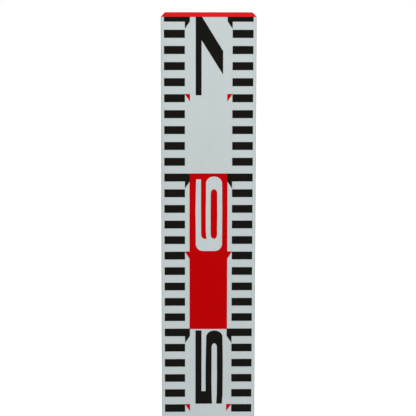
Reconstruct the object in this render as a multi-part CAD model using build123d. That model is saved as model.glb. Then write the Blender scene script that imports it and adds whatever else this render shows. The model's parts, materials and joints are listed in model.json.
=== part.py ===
from build123d import *
import os

# Sections, counted from the outside. Millimetres throughout.
SECTION_COUNT = 5
TOP_WIDTH = 42.4            # innermost section across its graduated face
TOP_DEPTH = 12.4            # innermost section from front to back
WALL = 1.1                  # wall of every section
NEST_GAP = 1.1              # between one section's inside and the next one's outside
CORNER_RADIUS = 1.5         # upright outside edges of every section
LEAST_RADIUS = 0.3          # smallest radius of an upright edge
EDGE_BEAD = 2.0             # rail left standing beside each graduated face
FACE_RECESS = 0.2           # depth of the graduated faces below those rails
TUBE_TOP = 698.0            # upper end of the outer section above the ground
SEAT_GAP = 0.1              # between pieces that rest on each other when closed

# Mouth bushes
BUSH_FIT = 0.05             # bush to the section that holds it
RUN_CLEAR = 0.2             # bush or runner to the section that slides past it
BUSH_ABOVE_LOCK = 3.0       # lower end of a bush above the lock hole
BUSH_LEAD_IN = 0.4          # bevel at both ends of a bush's bore

# Foot
FOOT_PLATE = 3.0            # thickness of the plate that stands on the ground
FOOT_CHAMFER = 0.6
FOOT_PLUG = 14.0            # height of the plug above the plate
FOOT_SCREW_SPREAD = 36.0    # distance between the two screws
SCREW_DIA = 4.0
SCREW_HEAD_DIA = 8.0
SCREW_LENGTH = 12.0
SCREW_SINK = 0.4            # head below the underside of the plate, so that it never carries the staff
SCREW_FIT = 0.05
DRIVE_WIDTH = 1.2           # arms of the cross recess
DRIVE_SPAN = 4.4
DRIVE_DEPTH = 1.4

# End plugs of the sliding sections
RUNNER = 3.0                # height of the runner under the section
PLUG_SHELF = 1.1            # plug left standing above and below the lock pocket
PLUG_FIT = 0.1              # plug to the section's inside
PLUG_WEB = 1.4              # plug left standing in front of the lock pocket
PLUG_CORNER = 1.2           # upright edges of the plugs, clear of the section's inside corners
PLUG_LEAD_IN = 0.6          # bevel at the ends that are pushed into a section
PIN_DIA = 3.0
PIN_LENGTH = 5.0
PIN_EDGE = 0.3              # bevel at both ends of a pin
PIN_FIT = 0.02
PIN_SINK = 0.15             # pin below the outside of its section
PIN_SPARE = 0.3             # pin hole deeper than the pin

# Locks
MOUTH_TO_LOCK = 48.3        # lock hole below the upper end, next to innermost section
BUTTON_DIA = 8.0
BUTTON_DOME = 0.8
BUTTON_CLEAR = 0.1          # button to the hole of its own section
LOCK_CLEAR = 0.35           # button to the hole that it locks into
LOCK_PROUD = 1.5            # button above the outer section when locked
TIP_CLEAR = 0.2             # button to the wall that holds it in when closed
FLANGE_STEP = 1.2           # flange beyond the button all round
FLANGE = 1.4
FLANGE_CLEAR = 0.2          # flange to the walls of the lock pocket
LEAF_THICK = 0.3
LEAF_WIDTH = 7.0
LEAF_SEAT = 0.1             # leaf to the button and to the pocket's floor
LEAF_CLEAR = 0.6            # end of the leaf to the end of the pocket
POCKET_END = 1.5            # plug left standing between pocket and pins

# Cap
CAP_RISE = 2.7              # height of the bevelled head
CAP_INSET = 2.5             # bevel, measured inwards
CAP_EDGE = 0.35             # rounding of the head's upper edge
CAP_PLUG = 22.0             # depth of the plug in the innermost section
CAP_WALL = 2.0
CAP_PIN_DEPTH = 11.0        # pins below the head

# Folding circular level on the back of the outer section
LEVEL_HEIGHT = 360.0        # hinge above the ground
LEVEL_PLATE = 2.2           # thickness of the hinge plate
LEVEL_PLATE_WIDTH = 40.0
LEVEL_PLATE_RISE = 20.0     # plate above the hinge
LEVEL_PLATE_CORNER = 3.0
LEVEL_PLATE_EDGE = 0.5      # bevel round the front of the hinge plate
KNUCKLE_RADIUS = 4.0
HINGE_GAP = 0.4             # knuckle to plate
HINGE_PIN_DIA = 3.0
HINGE_RUN = 0.05            # hinge pin to the arm
HINGE_PRESS = 0.01          # hinge pin to the ears
ARM_WIDTH = 18.0
ARM_THICK = 3.5
EAR_GAP = 0.3
EAR_THICK = 4.0
ARM_NECK = 7.0              # arm between knuckle and cup
CUP_RADIUS = 15.0
CUP_FLOOR = 2.0
CUP_CHAMFER = 0.6
TAB_WIDTH = 12.0
TAB_REACH = 3.0
TAB_THICK = 2.5
TAB_CORNER = 2.0            # lower corners of the tab
VIAL_WALL = 2.8             # cup around the vial
VIAL_FIT = 0.1
VIAL_RISE = 9.0
VIAL_SHELL = 2.0            # clear wall around and under the liquid
VIAL_LENS = 1.6             # clear cover over the middle of the liquid
VIAL_DOME = 0.9             # hollow of the cover's underside
LIQUID_GAP = 0.05
BUBBLE_RADIUS = 3.4
BUBBLE_THICK = 1.3
BEZEL_LIP = 2.2             # bezel over the edge of the vial
BEZEL_STEP_DOWN = 1.0       # bezel below the cup's rim
BEZEL_RISE = 1.4
BEZEL_STEP = 0.6            # bezel inside the edge of the cup
BEZEL_CHAMFER = 0.5
RIVET_DIA = 3.2
RIVET_HEAD_DIA = 6.4
RIVET_HEAD_RISE = 1.3
RIVET_EDGE = 7.0            # rivets inside the plate's edge
RIVET_RISE = 12.0           # rivets above the hinge
RIVET_FIT = 0.05


def width(n):
    return TOP_WIDTH + 2 * (SECTION_COUNT - n) * (WALL + NEST_GAP)


def depth(n):
    return TOP_DEPTH + 2 * (SECTION_COUNT - n) * (WALL + NEST_GAP)


def inside_width(n):
    return width(n) - 2 * WALL


def inside_depth(n):
    return depth(n) - 2 * WALL


def inside_radius():
    return max(CORNER_RADIUS - WALL, LEAST_RADIUS)


def plug_bottom(n):
    """Underside of the plug of section n, closed. Each plug stands on the one before it."""
    stage = RUNNER + plug_body() + SEAT_GAP
    return FOOT_PLATE + FOOT_PLUG + SEAT_GAP + (n - 2) * stage


def flange_radius():
    return BUTTON_DIA / 2 + FLANGE_STEP


def pocket_reach():
    """Half the height of the lock pocket."""
    return flange_radius() + FLANGE_CLEAR


def plug_body():
    """Height of an end plug inside its section."""
    return 2 * (pocket_reach() + PLUG_SHELF)


def tube_bottom(n):
    return FOOT_PLATE if n == 1 else plug_bottom(n) + RUNNER


def tube_top(n):
    if n == 1:
        return TUBE_TOP
    return cap_seat() if n == SECTION_COUNT else TUBE_TOP - SEAT_GAP


def cap_seat():
    return TUBE_TOP + SEAT_GAP


def button_height(n):
    return tube_bottom(n) + plug_body() / 2


def travel():
    """How far each section draws out of the one before it until its button locks."""
    return TUBE_TOP - MOUTH_TO_LOCK - button_height(SECTION_COUNT)


def lock_height(n):
    """The hole in section n that the button of the next section locks into."""
    return button_height(n + 1) + travel()


def pocket_floor(n):
    """The lock pocket is equally deep in every section, as deep as the innermost allows."""
    return inside_depth(n) / 2 - (inside_depth(SECTION_COUNT) - PLUG_WEB)


def pocket_length():
    return inside_width(SECTION_COUNT) - 2 * (PIN_LENGTH + POCKET_END)


def flange_front(n):
    """Inner side of the back wall, less the way that the button springs out."""
    return inside_depth(n) / 2 - (WALL + LOCK_PROUD + TIP_CLEAR)


def hinge_y():
    return plate_front() + HINGE_GAP + KNUCKLE_RADIUS


def plate_back():
    return depth(1) / 2 - FACE_RECESS


def plate_front():
    return plate_back() + LEVEL_PLATE


def arm_back():
    return plate_front() + HINGE_GAP


def cup_height():
    return LEVEL_HEIGHT - KNUCKLE_RADIUS - ARM_NECK - CUP_RADIUS


def vial_radius():
    return CUP_RADIUS - VIAL_WALL


def vial_floor():
    return arm_back() + CUP_FLOOR


def vial_top():
    return vial_floor() + VIAL_RISE


def cup_rim():
    return vial_top() + BEZEL_STEP_DOWN


def block(wide, deep, radius, bottom, top):
    """An upright block on the staff's axis with rounded upright edges."""
    return Pos(0, 0, bottom) * extrude(RectangleRounded(wide, deep, radius), amount=top - bottom)


def plug_block(section, bottom, top):
    """A block that fits inside a section."""
    wide = inside_width(section) - 2 * PLUG_FIT
    deep = inside_depth(section) - 2 * PLUG_FIT
    return block(wide, deep, PLUG_CORNER, bottom, top)


def bevelled(solid, end, bevel, axis=Axis.Z):
    """The solid with the edges of its first (0) or last (-1) face along an axis bevelled."""
    return chamfer(solid.faces().sort_by(axis)[end].edges(), bevel)


def box(x_range, y_range, z_range):
    size = [high - low for low, high in (x_range, y_range, z_range)]
    middle = [(high + low) / 2 for low, high in (x_range, y_range, z_range)]
    return Pos(*middle) * Box(*size)


def rod_x(radius, x_from, x_to, y, z):
    return Pos((x_from + x_to) / 2, y, z) * Rot(0, 90, 0) * Cylinder(radius, abs(x_to - x_from))


def rod_y(radius, x, y_from, y_to, z):
    return Pos(x, (y_from + y_to) / 2, z) * Rot(90, 0, 0) * Cylinder(radius, abs(y_to - y_from))


def ball(radius, base, crown):
    """A ball centred on the Y axis that peaks at the crown and has the given radius at the base."""
    rise = abs(crown - base)
    size = (rise**2 + radius**2) / (2 * rise)
    centre = crown - size if crown > base else crown + size
    return Pos(0, centre, 0) * Sphere(size)


def dome(radius, base, crown):
    """The cap of such a ball from base to crown. The ball's own poles lie off the cap."""
    reach = (-2 * radius, 2 * radius)
    return ball(radius, base, crown) & box(reach, sorted((base, 2 * crown - base)), reach)


def turned(*corners):
    """A closed outline of (radius, y) corners turned about the Y axis."""
    return revolve(make_face(Polyline(*corners, close=True)), Axis.Y, 360)


def rod_pair(section, height, radius, inner_end, outer_end):
    """Two rods through the narrow sides of a section, given their ends from its outside inwards."""
    near = width(section) / 2 - inner_end
    far = width(section) / 2 - outer_end
    return [rod_x(radius, side * near, side * far, 0, height) for side in (-1, 1)]


def pins(section, height):
    rods = rod_pair(section, height, PIN_DIA / 2, PIN_SINK + PIN_LENGTH, PIN_SINK)
    left, right = [chamfer(rod.edges().filter_by(GeomType.CIRCLE), PIN_EDGE) for rod in rods]
    return left + right


def pin_holes(section, height):
    left, right = rod_pair(section, height, PIN_DIA / 2 + PIN_FIT, PIN_SINK + PIN_LENGTH + PIN_SPARE, -WALL)
    return left + right


def pin_height(n):
    return FOOT_PLATE + FOOT_PLUG / 2 if n == 1 else button_height(n)


def cap_pin_height():
    return cap_seat() - CAP_PIN_DEPTH


def section_tube(n):
    outline = RectangleRounded(width(n), depth(n), CORNER_RADIUS)
    relief = Rectangle(width(n) - 2 * EDGE_BEAD, 2 * FACE_RECESS)
    for side in (-1, 1):
        outline -= Pos(0, side * depth(n) / 2) * relief
    outline -= RectangleRounded(inside_width(n), inside_depth(n), inside_radius())
    tube = Pos(0, 0, tube_bottom(n)) * extrude(outline, amount=tube_top(n) - tube_bottom(n))
    wall_from = inside_depth(n) / 2 - WALL
    wall_to = depth(n) / 2 + WALL
    if n > 1:
        tube -= rod_y(BUTTON_DIA / 2 + BUTTON_CLEAR, 0, wall_from, wall_to, button_height(n))
    if n < SECTION_COUNT:
        tube -= rod_y(BUTTON_DIA / 2 + LOCK_CLEAR, 0, wall_from, wall_to, lock_height(n))
    tube -= pin_holes(n, pin_height(n))
    if n == SECTION_COUNT:
        tube -= pin_holes(n, cap_pin_height())
    if n == 1:
        for x in rivet_places():
            tube -= rod_y(RIVET_DIA / 2 + RIVET_FIT, x, wall_from, wall_to, rivet_height())
    return tube


def mouth_bush(n):
    """A sleeve in the upper end of section n for the next section to slide in, flared at both ends."""
    lower = lock_height(n) + BUTTON_DIA / 2 + LOCK_CLEAR + BUSH_ABOVE_LOCK
    upper = tube_top(n)
    outer_radius = max(inside_radius() - BUSH_FIT, LEAST_RADIUS)
    outer = block(inside_width(n) - 2 * BUSH_FIT, inside_depth(n) - 2 * BUSH_FIT, outer_radius, lower, upper)
    wide = width(n + 1) + 2 * RUN_CLEAR
    deep = depth(n + 1) + 2 * RUN_CLEAR
    bore = RectangleRounded(wide, deep, CORNER_RADIUS + RUN_CLEAR)
    flare = extrude(bore, amount=BUSH_LEAD_IN, taper=-45)
    sleeve = outer - Pos(0, 0, lower) * extrude(bore, amount=upper - lower)
    sleeve -= Pos(0, 0, upper - BUSH_LEAD_IN) * flare
    return sleeve - Pos(0, 0, lower + BUSH_LEAD_IN) * Rot(180, 0, 0) * flare


def end_plug(n):
    """Runner under section n and body inside it, with a pocket open to the back for button and leaf."""
    wide = inside_width(n - 1) - 2 * RUN_CLEAR
    deep = inside_depth(n - 1) - 2 * RUN_CLEAR
    plug = bevelled(block(wide, deep, CORNER_RADIUS, plug_bottom(n), tube_bottom(n)), 0, PLUG_LEAD_IN)
    plug += bevelled(plug_block(n, tube_bottom(n), tube_bottom(n) + plug_body()), -1, PLUG_LEAD_IN)
    half = pocket_length() / 2
    low = button_height(n) - pocket_reach()
    high = button_height(n) + pocket_reach()
    plug -= box((-half, half), (pocket_floor(n), inside_depth(n)), (low, high))
    return plug - pin_holes(n, pin_height(n))


def lock_button(n):
    """Flanged button with a domed end, held in by the wall of the section around it."""
    front = flange_front(n)
    tip = depth(n) / 2 + NEST_GAP - TIP_CLEAR
    rear = front - FLANGE
    shank = BUTTON_DIA / 2
    rim = flange_radius()
    shoulder = tip - BUTTON_DOME
    body = turned((0, rear), (rim, rear), (rim, front), (shank, front), (shank, shoulder), (0, shoulder))
    return Pos(0, 0, button_height(n)) * (body + dome(shank, shoulder, tip))


def lock_spring(n):
    """A bowed leaf: part of a thin ring whose ends stand on the pocket's floor."""
    foot = pocket_floor(n) + LEAF_SEAT
    crown = flange_front(n) - FLANGE - LEAF_SEAT
    half = pocket_length() / 2 - LEAF_CLEAR
    rise = crown - foot
    radius = (rise**2 + half**2) / (2 * rise)
    ring = Pos(0, crown - radius) * (Circle(radius) - Circle(radius - LEAF_THICK))
    leaf = ring & Pos(0, foot + rise) * Rectangle(4 * half, 2 * rise)
    return Pos(0, 0, button_height(n) - LEAF_WIDTH / 2) * extrude(leaf, amount=LEAF_WIDTH)


def screw_places():
    return [-FOOT_SCREW_SPREAD / 2, FOOT_SCREW_SPREAD / 2]


def countersunk(x, low, swell):
    """A countersunk screw, grown by swell all round and with its head drawn down to the height low."""
    head = SCREW_HEAD_DIA / 2 + swell
    shank = SCREW_DIA / 2 + swell
    neck = SCREW_SINK + head - shank
    top = SCREW_SINK + SCREW_LENGTH + swell
    shaft = turned((0, SCREW_SINK), (head, SCREW_SINK), (shank, neck), (shank, top), (0, top))
    if low < SCREW_SINK:
        shaft += turned((0, low), (head, low), (head, SCREW_SINK), (0, SCREW_SINK))
    return Pos(x, 0, 0) * Rot(90, 0, 0) * shaft


def foot_plate():
    plate = bevelled(block(width(1), depth(1), CORNER_RADIUS, 0, FOOT_PLATE), 0, FOOT_CHAMFER)
    for x in screw_places():
        plate -= countersunk(x, -FOOT_PLATE, SCREW_FIT)
    return plate


def foot_plug():
    plug = bevelled(plug_block(1, FOOT_PLATE, FOOT_PLATE + FOOT_PLUG), -1, PLUG_LEAD_IN)
    for x in screw_places():
        plug -= countersunk(x, -FOOT_PLATE, SCREW_FIT)
    return plug - pin_holes(1, pin_height(1))


def foot_screws():
    screws = []
    for x in screw_places():
        screw = countersunk(x, SCREW_SINK, 0)
        for wide, deep in ((DRIVE_SPAN, DRIVE_WIDTH), (DRIVE_WIDTH, DRIVE_SPAN)):
            screw -= Pos(x, 0, SCREW_SINK) * Box(wide, deep, 2 * DRIVE_DEPTH)
        screws.append(screw)
    return screws[0] + screws[1]


def top_cap():
    """Bevelled head over all the sections, with a hollow plug in the innermost one."""
    seat = cap_seat()
    lower = Pos(0, 0, seat) * RectangleRounded(width(1), depth(1), CORNER_RADIUS)
    upper_radius = max(CORNER_RADIUS - CAP_INSET, LEAST_RADIUS)
    upper = RectangleRounded(width(1) - 2 * CAP_INSET, depth(1) - 2 * CAP_INSET, upper_radius)
    head = loft([lower, Pos(0, 0, seat + CAP_RISE) * upper], ruled=True)
    head = fillet(head.faces().sort_by(Axis.Z)[-1].edges(), CAP_EDGE)
    plug = bevelled(plug_block(SECTION_COUNT, seat - CAP_PLUG, seat), 0, PLUG_LEAD_IN)
    wide = inside_width(SECTION_COUNT) - 2 * (PLUG_FIT + CAP_WALL)
    deep = inside_depth(SECTION_COUNT) - 2 * (PLUG_FIT + CAP_WALL)
    plug -= block(wide, deep, inside_radius(), seat - 2 * CAP_PLUG, seat)
    return head + plug - pin_holes(SECTION_COUNT, cap_pin_height())


def rivet_places():
    return [side * (LEVEL_PLATE_WIDTH / 2 - RIVET_EDGE) for side in (-1, 1)]


def rivet_height():
    return LEVEL_HEIGHT + RIVET_RISE


def ear_ends(side):
    inner = side * (ARM_WIDTH / 2 + EAR_GAP)
    return inner, inner + side * EAR_THICK


def level_base():
    """Hinge plate lying in the recess of the back, with two ears for the hinge pin."""
    low = LEVEL_HEIGHT - KNUCKLE_RADIUS
    high = LEVEL_HEIGHT + LEVEL_PLATE_RISE
    half = LEVEL_PLATE_WIDTH / 2
    base = box((-half, half), (plate_back(), plate_front()), (low, high))
    base = fillet(base.edges().filter_by(Axis.Y), LEVEL_PLATE_CORNER)
    base = bevelled(base, -1, LEVEL_PLATE_EDGE, Axis.Y)
    for side in (-1, 1):
        ends = ear_ends(side)
        base += rod_x(KNUCKLE_RADIUS, *ends, hinge_y(), LEVEL_HEIGHT)
        base += box(sorted(ends), (plate_back(), hinge_y()), (low, LEVEL_HEIGHT + KNUCKLE_RADIUS))
    reach = LEVEL_PLATE_WIDTH
    base -= rod_x(HINGE_PIN_DIA / 2 + HINGE_PRESS, -reach, reach, hinge_y(), LEVEL_HEIGHT)
    for x in rivet_places():
        base -= rod_y(RIVET_DIA / 2 + RIVET_FIT, x, 0, hinge_y(), rivet_height())
    return base


def level_rivets():
    """Two round heads on the plate, with shanks that end flush inside the wall."""
    seat = plate_front()
    shank = rod_y(RIVET_DIA / 2, 0, inside_depth(1) / 2, seat, 0)
    rivet = shank + dome(RIVET_HEAD_DIA / 2, seat, seat + RIVET_HEAD_RISE)
    left, right = [Pos(x, 0, rivet_height()) * rivet for x in rivet_places()]
    return left + right


def level_hinge_pin():
    return rod_x(HINGE_PIN_DIA / 2, ear_ends(-1)[1], ear_ends(1)[1], hinge_y(), LEVEL_HEIGHT)


def arm_web(half, centre):
    """Flat web between knuckle and cup, wider from below the ears to the cup."""
    neck = LEVEL_HEIGHT - KNUCKLE_RADIUS - EAR_GAP
    right = [(half, LEVEL_HEIGHT), (half, neck), (vial_radius(), centre)]
    left = [(-x, z) for x, z in reversed(right)]
    face = make_face(Polyline(*right, *left, close=True))
    return Pos(0, arm_back() + ARM_THICK, 0) * Rot(90, 0, 0) * extrude(face, amount=ARM_THICK)


def level_arm():
    """Arm that hangs from the hinge, with the cup for the vial and a tab to lift it by."""
    half = ARM_WIDTH / 2
    back = arm_back()
    centre = cup_height()
    cup = rod_y(CUP_RADIUS, 0, back, cup_rim(), centre)
    cup = chamfer(cup.edges(), CUP_CHAMFER)
    arm = rod_x(KNUCKLE_RADIUS, -half, half, hinge_y(), LEVEL_HEIGHT)
    arm += arm_web(half, centre)
    low = centre - CUP_RADIUS - TAB_REACH
    rim = cup_rim() - CUP_CHAMFER
    tab = box((-TAB_WIDTH / 2, TAB_WIDTH / 2), (rim - TAB_THICK, rim), (low, centre))
    arm += fillet(tab.edges().filter_by(Axis.Y).group_by(Axis.Z)[0], TAB_CORNER)
    arm += cup
    arm -= rod_y(vial_radius() + VIAL_FIT, 0, vial_floor(), cup_rim() + VIAL_RISE, centre)
    return arm - rod_x(HINGE_PIN_DIA / 2 + HINGE_RUN, -ARM_WIDTH, ARM_WIDTH, hinge_y(), LEVEL_HEIGHT)


def liquid_sizes(gap):
    """Radius, floor, shoulder and crown of the space inside the vial, drawn in by a gap all round."""
    crown = vial_top() - VIAL_LENS - gap
    return vial_radius() - VIAL_SHELL - gap, vial_floor() + VIAL_SHELL + gap, crown - VIAL_DOME, crown


def bubble_ball(swell):
    """The ball that bounds the bubble from below, grown by swell."""
    top = vial_top() - VIAL_LENS
    return ball(BUBBLE_RADIUS + swell, top, top - BUBBLE_THICK - swell)


def level_vial():
    """A clear cup up to the liquid's shoulder and a clear cover hollowed by its dome, in one piece."""
    radius, floor, shoulder, crown = liquid_sizes(0)
    outside = vial_radius()
    cup = rod_y(outside, 0, vial_floor(), shoulder, 0) - rod_y(radius, 0, floor, vial_top(), 0)
    cover = rod_y(outside, 0, shoulder, vial_top(), 0) - dome(radius, shoulder, crown)
    return Pos(0, 0, cup_height()) * (cup + cover)


def level_liquid():
    """Fills the vial up to its dome, hollowed by the bubble."""
    radius, floor, shoulder, crown = liquid_sizes(LIQUID_GAP)
    filled = rod_y(radius, 0, floor, vial_top(), 0) & ball(radius, shoulder, crown)
    return Pos(0, 0, cup_height()) * (filled - bubble_ball(LIQUID_GAP))


def level_bubble():
    """A flat round drop of air under the top of the dome."""
    radius, _, shoulder, crown = liquid_sizes(LIQUID_GAP)
    return Pos(0, 0, cup_height()) * (ball(radius, shoulder, crown) & bubble_ball(0))


def level_bezel():
    """Ring on the cup's rim, stepped down into it to hold the vial."""
    inner = vial_radius() - BEZEL_LIP
    step = vial_radius()
    outer = CUP_RADIUS - BEZEL_STEP
    rim = cup_rim()
    top = rim + BEZEL_RISE
    edge = BEZEL_CHAMFER
    outline = [(inner, vial_top()), (step, vial_top()), (step, rim), (outer, rim), (outer, top - edge)]
    outline += [(outer - edge, top), (inner + edge, top), (inner, top - edge)]
    return Pos(0, 0, cup_height()) * turned(*outline)


def pieces():
    """Every node by name."""
    nodes = {}
    for n in range(1, SECTION_COUNT + 1):
        nodes[f"section_tube_{n}"] = section_tube(n)
        nodes[f"plug_pins_{n}"] = pins(n, pin_height(n))
        if n < SECTION_COUNT:
            nodes[f"mouth_bush_{n}"] = mouth_bush(n)
        if n > 1:
            nodes[f"end_plug_{n}"] = end_plug(n)
            nodes[f"lock_button_{n}"] = lock_button(n)
            nodes[f"lock_spring_{n}"] = lock_spring(n)
    nodes["foot_plate"] = foot_plate()
    nodes["foot_plug"] = foot_plug()
    nodes["foot_screws"] = foot_screws()
    nodes["top_cap"] = top_cap()
    nodes["cap_pins"] = pins(SECTION_COUNT, cap_pin_height())
    nodes["level_base"] = level_base()
    nodes["level_rivets"] = level_rivets()
    nodes["level_hinge_pin"] = level_hinge_pin()
    nodes["level_arm"] = level_arm()
    nodes["level_vial"] = level_vial()
    nodes["level_liquid"] = level_liquid()
    nodes["level_bubble"] = level_bubble()
    nodes["level_bezel"] = level_bezel()
    return nodes


def main():
    os.makedirs("parts", exist_ok=True)
    for name, shape in pieces().items():
        export_step(shape, f"parts/{name}.step")
    closed = cap_seat() + CAP_RISE
    print("closed", closed, "travel", travel(), "drawn out", closed + (SECTION_COUNT - 1) * travel())


if __name__ == "__main__":
    main()
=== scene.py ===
import json
from functools import lru_cache

import bpy
import numpy as np
from bpy.props import FloatProperty, FloatVectorProperty, PointerProperty
from bpy.types import Operator, Panel, PropertyGroup
from mathutils import Matrix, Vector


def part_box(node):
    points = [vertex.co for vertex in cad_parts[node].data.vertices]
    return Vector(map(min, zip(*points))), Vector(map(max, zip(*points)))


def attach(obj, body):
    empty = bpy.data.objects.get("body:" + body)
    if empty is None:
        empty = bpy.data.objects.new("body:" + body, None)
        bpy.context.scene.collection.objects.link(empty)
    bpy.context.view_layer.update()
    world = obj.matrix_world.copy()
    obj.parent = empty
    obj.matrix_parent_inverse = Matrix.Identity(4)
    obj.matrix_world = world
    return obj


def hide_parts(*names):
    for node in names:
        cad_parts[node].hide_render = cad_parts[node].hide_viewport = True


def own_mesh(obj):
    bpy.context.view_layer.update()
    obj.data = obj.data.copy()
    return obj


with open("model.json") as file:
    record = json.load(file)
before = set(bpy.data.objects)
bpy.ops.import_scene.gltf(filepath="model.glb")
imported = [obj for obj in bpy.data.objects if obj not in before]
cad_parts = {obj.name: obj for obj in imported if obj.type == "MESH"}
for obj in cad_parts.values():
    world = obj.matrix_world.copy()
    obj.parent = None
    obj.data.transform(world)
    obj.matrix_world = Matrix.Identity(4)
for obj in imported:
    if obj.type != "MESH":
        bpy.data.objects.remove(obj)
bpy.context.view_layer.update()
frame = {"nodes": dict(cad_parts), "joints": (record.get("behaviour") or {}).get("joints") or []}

bl_info = {
    "name": "Leveling staff",
    "version": (1, 0, 0),
    "blender": (4, 5, 0),
    "location": "View3D > Sidebar > Staff",
    "description": "Prints the scales of a telescopic leveling staff, finishes its pieces and sets its stage",
    "category": "Object",
}

MM = 0.001
CENTIMETRE = 10 * MM
DECIMETRE = 100 * MM
SECTIONS = range(1, 1 + sum(name.startswith("section_tube_") for name in frame["nodes"]))
TRAVEL = max(joint["range_m"][1] for joint in frame["joints"] if joint["name"].endswith("_slide"))

# digits, in millimetres
NUMERAL_WIDE = 48.0         # box that the digits are drawn in
NUMERAL_TALL = 17.1
PAIR_WIDE = 22.5            # each digit of a two digit number on the front
PAIR_GAP = 3.0
CENTIMETRE_DIGIT = (2.6, 1.9)   # height and width of a digit on the back
DECIMETRE_DIGIT = (4.6, 3.0)
BACK_GAP = 0.7
FRONT_FINE = 15             # points on a half circle of a digit
BACK_FINE = 5

# limits of the print
MOUTH_LAP = 5 * MM          # print of an inner section below the mouth that it is drawn out of
LINE_REACH = 5 * MM         # lines this far above the print still have marks that hang down into it
LEAST_MARK = 0.05 * MM      # marks that are cut lower than this are left out
LEAST_CELL = 1e-13          # twice the area of a cell, in square metres, below which it is empty
SNAP_PLACES = 8             # decimals of a metre within which points are joined

# top and thickness of each ink as multiples of the film, so that inks over each other stay apart
RED_LAYER = (1.0, 0.9)
BLACK_LAYER = (1.3, 1.1)
PALE_LAYER = (1.6, 0.5)
BACK_LAYER = (1.0, 0.9)

LEAF_STEPS = 41             # rings along a leaf spring
RING_STEPS = 65             # points round the ring over the bubble

# wear of the coat
RAIL_WEAR = (1.6 * MM, 0.5 * MM)    # start and full strength of the wear, from the outside of a section
END_SKIN = (0.02 * MM, 0.06 * MM)   # bare metal and coat, from the cut end of a section


def paint(red, green, blue):
    """The scene colour of a display colour given in steps of 255."""
    display = np.array([red, green, blue]) / 255.0
    linear = np.where(display <= 0.04045, display / 12.92, ((display + 0.055) / 1.055) ** 2.4)
    return tuple(float(part) for part in linear)


# settings


def length(name, description, millimetres):
    """A length setting, given in millimetres."""
    return FloatProperty(name=name, description=description, default=millimetres * MM, min=0.0,
                         subtype="DISTANCE", unit="LENGTH", precision=5)


def colour(name, description, *display):
    """A colour setting, given as a display colour."""
    return FloatVectorProperty(name=name, description=description, default=paint(*display), min=0.0, max=1.0,
                               size=3, subtype="COLOR")


def angle(name, description, degrees):
    """An angle setting, given in degrees."""
    return FloatProperty(name=name, description=description, default=float(np.radians(degrees)),
                         subtype="ANGLE", unit="ROTATION")


def amount(name, description, value, unit="NONE"):
    """A setting that is a plain number, in Blender's own measure of the unit."""
    return FloatProperty(name=name, description=description, default=value, min=0.0, unit=unit)


class StaffPrintSettings(PropertyGroup):
    face_recess: length("Face recess", "Depth of the printed face below the rails beside it", 0.2)
    film: length("Ink film", "Height of the ink above the face", 0.06)
    bar_height: length("Bar height", "Height of a centimetre bar", 5.0)
    bar_lift: length("Bar lift", "Spread of the ink above the line that a bar hangs from", 0.1)
    bar_inner: length("Bar inner end", "Inner end of a bar from the middle of the face", 14.87)
    bar_margin: length("Bar margin", "Outer end of a bar from the side of the section", 2.15)
    long_inner: length("Long bar inner end", "Inner end of a decimetre bar from the middle", 11.75)
    wedge_height: length("Wedge height", "Height of the black wedge under a decimetre bar", 4.45)
    wedge_gap: length("Wedge gap", "Inner corner of a wedge from the inner end of its bar", 0.2)
    block_half: length("Block half width", "Half width of the red block of an even decimetre", 12.0)
    block_lift: length("Block lift", "Spread of the ink of a red block beyond its lines", 0.2)
    mark_inner: length("Triangle inner side", "Upright side of a triangle from the middle of the face", 11.65)
    mark_lap: length("Triangle lap", "Reach of a triangle past the inner end of its bar", 0.1)
    mark_lift: length("Triangle lift", "Spread of the ink of a triangle above its line", 0.25)
    mark_height: length("Triangle height", "Height of a five centimetre triangle", 4.8)
    numeral_foot: length("Numeral foot", "Foot of a numeral to the right of the middle", 9.1)
    numeral_start: length("Numeral start", "Start of a numeral below its decimetre line", 49.3)
    tick: length("Tick", "Thickness of a tick of the millimetre scale", 0.28)
    tick_ten: length("Tick at ten", "Length of a tick at ten millimetres", 6.5)
    tick_five: length("Tick at five", "Length of a tick at five millimetres", 4.6)
    tick_one: length("Tick at one", "Length of all the other ticks", 3.2)
    number_inset: length("Number inset", "Numbers of the back inside the outer ends of the ticks", 7.2)
    plate_clear: length("Plate clearance", "Numbers of the back clear of the level's hinge plate", 4.0)
    ring_clear: length("Ring clearance", "Inside of the level's ring beyond the bubble", 0.7)
    ring_width: length("Ring width", "Width of the level's ring", 0.45)
    ring_top: length("Ring top", "Top of the level's ring above the vial", 0.04)
    ring_film: length("Ring film", "Thickness of the level's ring", 0.03)
    black: colour("Black ink", "Ink of the bars and the odd numerals", 21, 20, 17)
    red: colour("Red ink", "Ink of the blocks and the triangles", 187, 0, 3)
    pale: colour("Pale ink", "Ink of the numerals on the red blocks", 195, 205, 206)


class StaffFinishSettings(PropertyGroup):
    coat: colour("Coat", "Satin coat of the sections", 192, 202, 203)
    bare: colour("Cut ends", "Bare aluminium of the sections' cut ends", 214, 216, 217)
    cap: colour("Cap", "Moulded plastic of the cap", 201, 6, 3)
    moulding: colour("Mouldings", "Black plastic of the plugs and the level", 26, 26, 28)
    nylon: colour("Nylon", "Guide bushes in the mouths of the sections", 226, 223, 212)
    steel: colour("Steel", "Pins, screws and buttons", 198, 199, 201)
    spring: colour("Spring steel", "Leaf springs behind the buttons", 112, 118, 140)
    plate: colour("Foot plate", "Brushed steel of the foot", 176, 176, 174)
    rivet: colour("Rivets", "Aluminium of the level's rivets", 205, 206, 208)
    acrylic: colour("Acrylic", "Clear plastic of the level's vial", 246, 250, 247)
    liquid: colour("Liquid", "Tint of the level's liquid", 206, 230, 62)
    air: colour("Bubble", "Tint of the level's bubble", 243, 248, 205)
    leaf: length("Leaf", "Thickness of a leaf spring", 0.3)


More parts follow.
